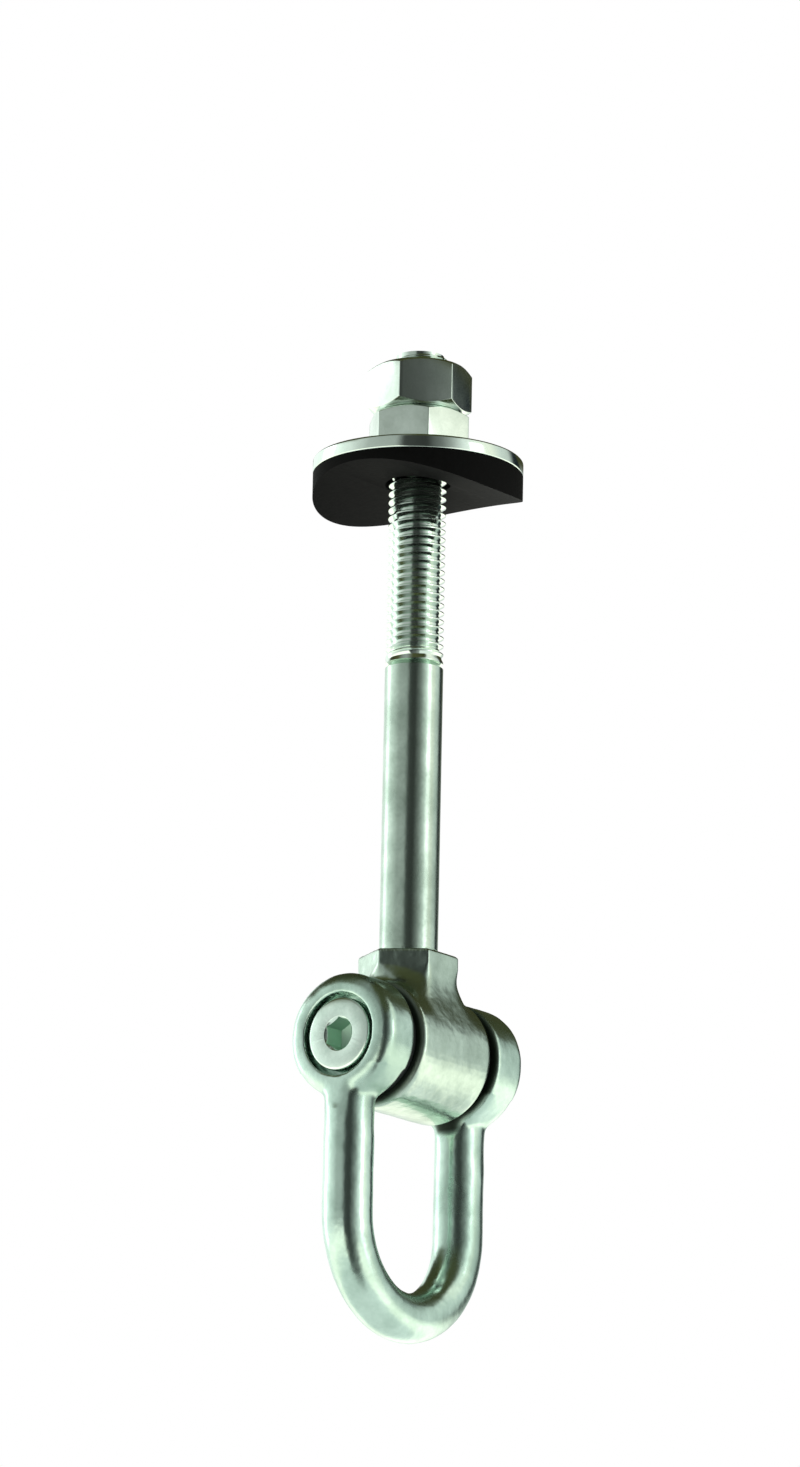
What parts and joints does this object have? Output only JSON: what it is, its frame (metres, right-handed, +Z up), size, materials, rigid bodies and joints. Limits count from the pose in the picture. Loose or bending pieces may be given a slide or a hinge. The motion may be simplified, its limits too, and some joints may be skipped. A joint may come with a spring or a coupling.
{
  "type": "swing hanger eye bolt",
  "caption": "Through-bolt hanger for a round pole: threaded stud, hexagonal neck and bushed barrel, saddle pad, washer and lock nuts, with a forged D-shackle swinging on a socket-head pin.",
  "frame": {"origin": "on the stud's axis, in the plane of the neck's seat face, where the pole rests", "axes": "+Z up the stud to its tip; X along the shackle pin, parallel to the pole, with the pin's head on the -X side; Y across the pole"},
  "size_m": [0.0484, 0.0436, 0.2072],
  "materials": {
    "forged_steel": "hot-dip galvanised forging, satin, slightly mottled",
    "plated_steel": "bright zinc plating",
    "bush_plastic": "dark self-lubricating plastic",
    "pad_rubber": "matt black rubber"
  },
  "bodies": {
    "bolt": {"eye_bolt": "forged_steel", "left_bush": "bush_plastic", "right_bush": "bush_plastic"},
    "clamp": {"large_washer": "plated_steel", "saddle_pad": "pad_rubber"},
    "lower_nut": {"lower_nut": "plated_steel"},
    "upper_nut": {"upper_nut": "plated_steel"},
    "shackle": {"shackle": "forged_steel"},
    "pin": {"shackle_pin": "plated_steel"}
  },
  "joints": [
    {"name": "shackle_swing", "type": "hinge", "parent": "bolt", "child": "shackle", "pos_m": [0, 0, -0.0202], "axis": [1, 0, 0], "range_deg": [-120, 120]},
    {"name": "pin_withdraw", "type": "slide", "parent": "shackle", "child": "pin", "axis": [-1, 0, 0], "range_m": [0, 0.055]},
    {"name": "clamp_travel", "type": "slide", "parent": "bolt", "child": "clamp", "axis": [0, 0, -1], "range_m": [0, 0.035]},
    {"name": "lower_nut_turn", "type": "hinge", "parent": "clamp", "child": "lower_nut", "pos_m": [0, 0, 0.1098], "axis": [0, 0, -1], "range_deg": [0, 7200]},
    {"name": "upper_nut_turn", "type": "hinge", "parent": "clamp", "child": "upper_nut", "pos_m": [0, 0, 0.1199], "axis": [0, 0, -1], "range_deg": [0, 7200]}
  ],
  "couplings": [
    {"joint": "lower_nut_turn", "follows": "clamp_travel", "rad_per_m": 3590.4},
    {"joint": "upper_nut_turn", "follows": "clamp_travel", "rad_per_m": 3590.4}
  ]
}
